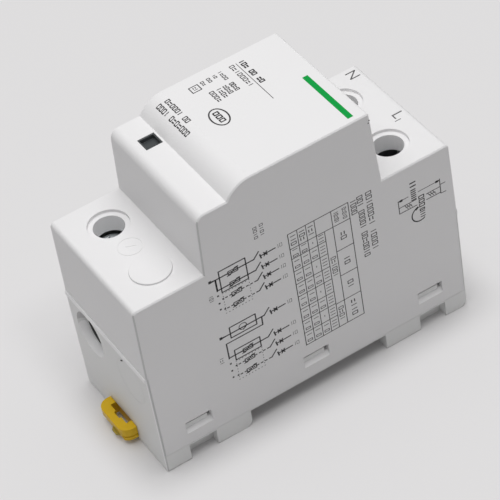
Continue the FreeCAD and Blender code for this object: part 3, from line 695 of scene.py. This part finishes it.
def data_table():
    """Ruled table with small shapes in its cells, and three rows of shapes beside it."""
    left, right, low, high = -1.82, 13.53, 10.05, 43.6
    rule = 0.19
    columns = (0.48, 2.69, 4.88, 6.95, 9.13)
    rows = (39.2, 36.3, 32.6, 28.75, 25.0, 21.1, 17.4, 13.75, low)
    sheet = start_sheet(0.15, high - low, left, (low + high) / 2)
    frame_line(left, low, right, high, 0.2)
    for column in columns:
        stroke((column, low), (column, 38.9 if column == columns[3] else high), rule)
    stroke((left, rows[0]), (right, 39.0), rule)
    for row in (31.7, 24.4, 17.1):
        stroke((columns[4], row), (right, row), rule)
    stroke((columns[3], 17.1), (columns[4], 17.1), rule)
    for row in rows[1:-1]:
        stroke((left, row), (columns[3], row), rule)
    for k, (above, below) in enumerate(zip(rows, rows[1:])):
        middle = (above + below) / 2
        for column, pattern in ((-0.67, "i o"), (1.58, "i o"), (3.78, "i o"), (5.9, "iii")):
            if column == 3.78 and k % 2 == 0:
                stroke((column, middle + 0.2), (column, middle - 0.2), 0.18)
            else:
                word_row(pattern, (column, middle + 1.3), (column, middle - 1.3), 1.2, 0.17)
    for column, pattern in ((-0.67, "iio"), (1.58, "ioz"), (3.78, "izi")):
        word_row(pattern, (column, 43.1), (column, 39.9), 1.25, 0.19)
    word_row("ozoio", (12.4, 42.9), (12.4, 39.7), 0.95, 0.14)
    word_row("iozoi", (10.3, 42.9), (10.3, 39.7), 1.0, 0.15)
    for middle, pattern in ((35.4, "zo"), (28.0, "io"), (20.8, "oi"), (13.6, "ziio")):
        reach = len(pattern) * 0.62
        word_row(pattern, (11.35, middle + reach), (11.35, middle - reach), 1.3, 0.21)
    word_row("oziooi", (8.05, 31.0), (8.05, 25.0), 1.15, 0.17)
    word_row("ozoi", (8.05, 15.9), (8.05, 11.6), 1.15, 0.17)
    word_row("ooiooozi ioooi", (18.75, 43.8), (18.75, 26.6), 1.35, 0.2)
    word_row("ooi ooooi oozooio", (16.5, 43.8), (16.5, 25.8), 1.35, 0.2)
    word_row("iooo", (14.8, 43.7), (14.8, 39.3), 1.3, 0.2)
    return lay_print(sheet, "data_table", "side", SIDE_FACE)


def wire_row(z, first, dashed):
    """One wire of a diagram: its run, the open switch, the crossed contact and the end mark."""
    thin = 0.31
    if dashed:
        for k in range(7):
            y = first + 0.55 + k * 1.05
            stroke((y, z), (y + 0.5, z), 0.3)
        stroke((-11.3, z), (-10.55, z), thin)
    else:
        stroke((first, z), (-10.5, z), 0.33)
    stroke((-10.55, z), (-9.15, z + 1.5), 0.32)
    stroke((-9.0, z + 0.5), (-8.75, z - 0.7), 0.36)
    stroke((-8.75, z), (-6.7, z), 0.28)
    stroke((-8.05, z - 0.5), (-7.25, z + 0.5), 0.32)
    stroke((-8.05, z + 0.5), (-7.25, z - 0.5), 0.32)
    stroke((-6.7, z), (-5.15, z + 0.05), thin)
    word_row("i", (-4.75, z + 0.15), (-4.15, z + 0.15), 1.0, 0.1)
    word_row("o", (-4.2, z + 0.15), (-3.3, z + 0.15), 0.9, 0.09)


def varistor_sign(z):
    """Small block with a bent stroke through it."""
    frame_line(-17.0, z - 0.45, -14.6, z + 0.45, 0.25)
    stroke((-17.3, z - 0.7), (-16.5, z - 0.7), 0.22)
    stroke((-16.5, z - 0.7), (-15.2, z + 0.7), 0.24)
    stroke((-15.2, z + 0.7), (-14.4, z + 0.7), 0.22)


def dotted_frame(y0, z0, y1, z1):
    """Outline of short dots."""
    step, half, thick = 0.75, 0.12, 0.14
    across = int((y1 - y0) / step)
    for k in range(across + 1):
        y = y0 + (y1 - y0) * k / across
        for z in (z0, z1):
            stroke((y - half, z), (y + half, z), thick)
    tall = int((z1 - z0) / step)
    for k in range(1, tall):
        z = z0 + (z1 - z0) * k / tall
        for y in (y0, y1):
            stroke((y, z - half), (y, z + half), thick)


def dot(y, z, size=0.45):
    """Square dot."""
    stroke((y - size / 4, z), (y + size / 4, z), size)


def wiring_diagrams():
    """Two generic wiring diagrams made of standard signs."""
    sheet = start_sheet(0.3, 3.1, -20.1, 40.25)
    frame_line(-19.15, 37.55, -12.55, 43.6, 0.3)
    wire_row(41.85, -21.2, False)
    wire_row(38.7, -20.2, False)
    wire_row(35.75, -19.2, True)
    wire_row(32.65, -19.2, True)
    for z in (41.85, 38.7, 35.75, 32.65):
        varistor_sign(z)
    dotted_frame(-19.1, 31.4, -12.55, 37.2)
    stroke((-21.65, 42.0), (-21.35, 42.0), 0.75)
    stroke((-21.3, 42.0), (-20.2, 41.85), 0.34)
    stroke((-20.2, 41.85), (-20.2, 38.5), 0.34)
    for z in (37.2, 35.0, 33.2):
        dot(-20.25, z)
    for z in (35.75, 32.75):
        dot(-19.2, z)
    word_row("ioi", (-21.9, 38.3), (-21.9, 36.3), 0.9, 0.12)

    frame_line(-19.2, 23.85, -12.65, 26.95, 0.3)
    wire_row(25.15, -21.3, False)
    ring_line(-16.0, 25.45, 0.95, 0.85, 0.2, 24)
    stroke((-16.0, 24.4), (-15.2, 25.15), 0.22)
    stroke((-21.75, 25.2), (-21.45, 25.2), 0.75)
    stroke((-21.4, 25.2), (-20.4, 25.15), 0.34)
    stroke((-11.25, 25.1), (-11.3, 22.8), 0.34)
    stroke((-11.3, 22.8), (-20.6, 22.85), 0.3)
    stroke((-20.6, 22.85), (-20.6, 18.3), 0.34)
    frame_line(-19.05, 16.95, -12.6, 19.9, 0.3)
    wire_row(18.5, -20.5, False)
    wire_row(15.35, -19.2, True)
    wire_row(12.2, -19.2, True)
    for z in (18.5, 15.35, 12.2):
        varistor_sign(z)
    dotted_frame(-19.1, 10.9, -12.55, 16.6)
    for z in (16.7, 14.5, 12.5):
        dot(-20.5, z)
    for z in (15.35, 12.3):
        dot(-19.25, z)
    word_row("izi", (-22.4, 19.8), (-22.4, 17.8), 0.9, 0.12)
    word_row("oioi", (-7.5, 50.5), (-7.5, 46.9), 0.8, 0.14)
    word_row("ooio", (-9.1, 50.4), (-9.1, 46.9), 0.8, 0.14)
    dot(21.4, 62.2, 0.3)
    dot(21.1, 61.6, 0.3)
    return lay_print(sheet, "wiring_diagrams", "side", SIDE_FACE)


def strip_sign():
    """Generic sign of a stripped wire with its length line, two rows of shapes and the turning arrow."""
    sheet = start_sheet(0.2, 3.7, 25.75, 34.5)
    stroke((36.68, 32.4), (36.68, 36.5), 0.22)
    for y0, y1 in ((25.75, 30.35), (32.9, 36.7)):
        stroke((y0, 32.68), (y1, 32.62), 0.2)
        stroke((y0, 34.3), (y1, 34.3), 0.18)
    stroke((25.75, 36.2), (28.4, 36.2), 0.16)
    stroke((30.95, 36.15), (36.5, 36.15), 0.16)
    for tip, way in ((25.85, 1), (36.6, -1)):
        stroke((tip + way * 0.15, 36.15), (tip + way * 0.55, 36.15), 0.35)
        stroke((tip + way * 0.5, 36.15), (tip + way * 0.9, 36.15), 0.6)
    for left in (27.2, 27.75, 28.3, 33.3, 33.95, 34.6):
        stroke((left, 34.3), (left + 0.85, 32.95), 0.16)
    stroke((27.5, 33.6), (29.0, 33.6), 0.18)
    stroke((33.7, 33.6), (35.3, 33.6), 0.18)
    stroke((36.7, 34.85), (38.05, 34.85), 0.18)
    stroke((36.7, 32.3), (38.05, 32.25), 0.18)
    word_row("ii", (29.85, 40.0), (29.85, 38.0), 1.4, 0.34)
    word_row("iiiiii", (29.75, 37.75), (29.75, 34.3), 1.2, 0.3)
    word_row("ooo", (31.65, 34.9), (31.6, 31.4), 1.3, 0.24)
    word_row("oiii", (31.55, 31.1), (31.55, 28.3), 1.15, 0.24)
    arc_line(30.75, 29.8, 2.03, 108, 305)
    stroke((29.9, 31.5), (30.5, 31.85), 0.55)
    return lay_print(sheet, "strip_sign", "side", SIDE_FACE)


# Marks that the mould leaves

def closed_screw_place():
    """Slightly raised round plug where a fourth screw hole would be."""
    radius, rise = 4.72, 0.3
    object_mode()
    bpy.ops.mesh.primitive_circle_add(vertices=96, radius=radius, location=(0, 0, 0))
    plug = bpy.context.object
    bpy.ops.object.mode_set(mode="EDIT")
    bpy.ops.mesh.edge_face_add()
    bpy.ops.mesh.inset(thickness=0.1)
    bpy.ops.transform.translate(value=(0, 0, rise))
    bpy.ops.mesh.inset(thickness=0.5)
    bpy.ops.mesh.select_all(action="SELECT")
    bpy.ops.transform.translate(value=(TERMINAL_X, -TERMINAL_Y, 0))
    return lay_print(plug, "closed_screw_place", "top", SHOULDER_TOP + 0.02, cover_white, thickness=0.04)


def mould_date():
    """Small round mark of the mould, a ring with a short pointer."""
    sheet = start_ring(0.0, -30.0, 2.7, 0.2, 48)
    stroke((-0.5, -30.7), (0.45, -28.7), 0.25)
    return lay_print(sheet, "mould_date", "top", SHOULDER_TOP, cover_white, thickness=0.1)


def closed_cable_entry():
    """Low round ridge where an insert closes the fourth cable entry."""
    sheet = start_ring(TERMINAL_X, ENTRY_Z, MOUTH_RADIUS - 0.1, 0.25, 72)
    return lay_print(sheet, "closed_cable_entry", "end", END_FACE, base_white, 0.04)


def gate_point():
    """Small dark scar where the plastic entered the mould."""
    sheet = start_sheet(0.4, 0.4, 6.4, 21.72)
    stroke((5.85, 21.3), (6.95, 22.15), 0.34)
    return lay_print(sheet, "gate_point", "end", END_FACE)


# Everything that the CAD gives, with its finish

cover = smoothed_copy("front_cover", "cover_shell", cover_white, "case")
base = smoothed_copy("rear_base", "base_shell", base_white, "case")
clip = smoothed_copy("rail_clip", "yellow_clip", clip_yellow, "clip")
soften_foot(base)
# Painted light and shade on chosen faces: paler where light falls, darker on the corners, the upper flares,
# the entry throats and the clip's tooth
for piece, finish, wanted in (
        (cover, painted_shade_white, on_corner), (cover, painted_highlight_white, in_screw_tube),
        (cover, painted_highlight_white, on_window_bevel), (base, painted_shade_white, on_corner),
        (base, painted_highlight_white, on_corner_rim), (base, painted_highlight_white, on_lip),
        (base, painted_highlight_white, in_flare_bottom), (base, painted_shade_white, in_flare_top),
        (base, throat_painted_shade, in_entry_throat), (clip, clip_painted_shade, on_clip_tooth)):
    second_finish(piece, finish, wanted)
for pole in ("n", "l1", "pe"):
    smoothed_copy("terminal_screw_" + pole, "clamp_screw_" + pole, screw_zinc, "screw_" + pole)
stretching_spring()

carried = {
    "indicator_window": lens_dark, "terminal_bar_n": bar_tin, "terminal_bar_l1": bar_tin,
    "terminal_bar_pe": bar_tin, "varistor_block": varistor_blue, "varistor_plate_outer": bar_tin,
    "varistor_plate_inner": bar_tin, "disconnect_arm": bar_tin, "arm_post": bar_tin,
    "indicator_slider": flag_red, "indicator_spring": spring_wire, "discharge_tube": tube_ceramic,
    "tube_cap_n": cage_zinc, "tube_cap_pe": cage_zinc, "inner_barrier": barrier_grey,
    "clamp_cage_n": cage_zinc, "clamp_cage_l1": cage_zinc, "clamp_cage_pe": cage_zinc,
    "front_cover": cover_white, "rear_base": base_white, "rail_clip": clip_yellow,
    "terminal_screw_n": screw_zinc, "terminal_screw_l1": screw_zinc, "terminal_screw_pe": screw_zinc,
}
for node, finish in carried.items():
    nodes[node].data.materials.clear()
    nodes[node].data.materials.append(finish)


# Every print and mark, on the face that carries it

nose_print()
green_bar()
status_rows()
terminal_mark("mark_n", "N", -15.3, 37.15, 3.9, ink_soft)
terminal_mark("mark_l", "L", 2.6, 37.15, 3.9, ink_soft)
terminal_mark("mark_1", "1", 4.15, 36.15, 2.3, ink_grey)
closed_screw_place()
mould_date()
closed_cable_entry()
gate_point()
data_table()
wiring_diagrams()
strip_sign()


# Floor, light and camera

def pale_floor():
    """Plain pale floor, seen and mirrored in the paper's own tone, with the object's shadow kept."""
    object_mode()
    bpy.ops.mesh.primitive_plane_add(size=6, location=(0, 0, FLOOR_LEVEL * MM))
    floor = bpy.context.object
    floor.name = "studio_floor"
    material, tree, shader, where = blank_material("floor_paper")
    tint = place_group(tree, DRIFT, where, Colour=rgba(0.745, 0.736, 0.74), Second=rgba(0.735, 0.726, 0.73),
                       Amount=0.3, Scale=6.0)
    tree.links.new(tint.outputs["Colour"], shader.inputs["Base Color"])
    shader.inputs["Roughness"].default_value = 0.9
    shader.inputs["Specular IOR Level"].default_value = 0.1
    glow = tree.nodes.new("ShaderNodeEmission")
    glow.inputs["Strength"].default_value = 1.0
    tree.links.new(tint.outputs["Colour"], glow.inputs["Color"])
    # Distance from the rectangle round the object in which the floor keeps its own shade
    away = where
    for operation, value in (("SUBTRACT", SHADOW_CENTRE), ("ABSOLUTE", None), ("SUBTRACT", SHADOW_HALF),
                             ("MAXIMUM", (0, 0))):
        step = tree.nodes.new("ShaderNodeVectorMath")
        step.operation = operation
        tree.links.new(away, step.inputs[0])
        if value:
            step.inputs[1].default_value = (value[0] * MM, value[1] * MM, 0)
        away = step.outputs["Vector"]
    gap = tree.nodes.new("ShaderNodeVectorMath")
    gap.operation = "LENGTH"
    tree.links.new(away, gap.inputs[0])
    rise = tree.nodes.new("ShaderNodeMapRange")
    rise.interpolation_type = "SMOOTHSTEP"
    rise.inputs["From Max"].default_value = SHADOW_REACH * MM
    rise.inputs["To Max"].default_value = FLOOR_LIFT
    tree.links.new(gap.outputs["Value"], rise.inputs["Value"])
    ray = tree.nodes.new("ShaderNodeLightPath")
    seen = maths(tree, "ADD", ray.outputs["Is Camera Ray"], ray.outputs["Is Glossy Ray"], clamp=True)
    seen = maths(tree, "ADD", seen, ray.outputs["Is Transmission Ray"], clamp=True)
    blend = tree.nodes.new("ShaderNodeMixShader")
    tree.links.new(maths(tree, "MULTIPLY", seen, rise.outputs["Result"]), blend.inputs["Fac"])
    tree.links.new(shader.outputs["BSDF"], blend.inputs[1])
    tree.links.new(glow.outputs["Emission"], blend.inputs[2])
    tree.links.new(blend.outputs["Shader"], tree.nodes["Material Output"].inputs["Surface"])
    floor.data.materials.append(material)


def soft_light(name, place, target, size, power):
    """Large soft lamp aimed at a point."""
    object_mode()
    bpy.ops.object.light_add(type="AREA", location=place)
    lamp = bpy.context.object
    lamp.name = name
    lamp.data.shape = "DISK"
    lamp.data.size = size
    lamp.data.energy = power
    lamp.rotation_euler = (Vector(target) - Vector(place)).to_track_quat("-Z", "Y").to_euler()


def camera():
    """Camera of the photograph."""
    azimuth = math.radians(65.2)
    elevation = math.radians(43.078)
    roll = math.radians(-10.737)
    back = Vector((math.sin(azimuth) * math.cos(elevation), -math.cos(azimuth) * math.cos(elevation),
                   math.sin(elevation)))
    level = Vector((math.cos(azimuth), math.sin(azimuth), 0))
    above = back.cross(level)
    right = math.cos(roll) * level + math.sin(roll) * above
    top = -math.sin(roll) * level + math.cos(roll) * above
    target = Vector((2.05, -3.624, 28.5))
    distance = 547.164
    eye = target + back * distance
    bpy.ops.object.camera_add(location=eye * MM)
    view = bpy.context.object
    view.matrix_world = Matrix.Translation(eye * MM) @ Matrix((right, top, back)).transposed().to_4x4()
    view.data.lens = 180.15
    view.data.sensor_width = 36.0
    view.data.clip_start = 0.01
    bpy.context.scene.camera = view


pale_floor()
soft_light("overhead_softbox", (-0.04, 0.01, 0.6), (0, 0, 0), size=0.7, power=3.22)
world = bpy.data.worlds.new("pale room")
bpy.context.scene.world = world
world.use_nodes = True
sky = world.node_tree.nodes["Background"]
sky.inputs["Color"].default_value = rgba(1.0, 1.0, 1.0)
sky.inputs["Strength"].default_value = 0.262
camera()
bpy.context.scene.view_settings.view_transform = "Standard"

bpy.context.view_layer.update()
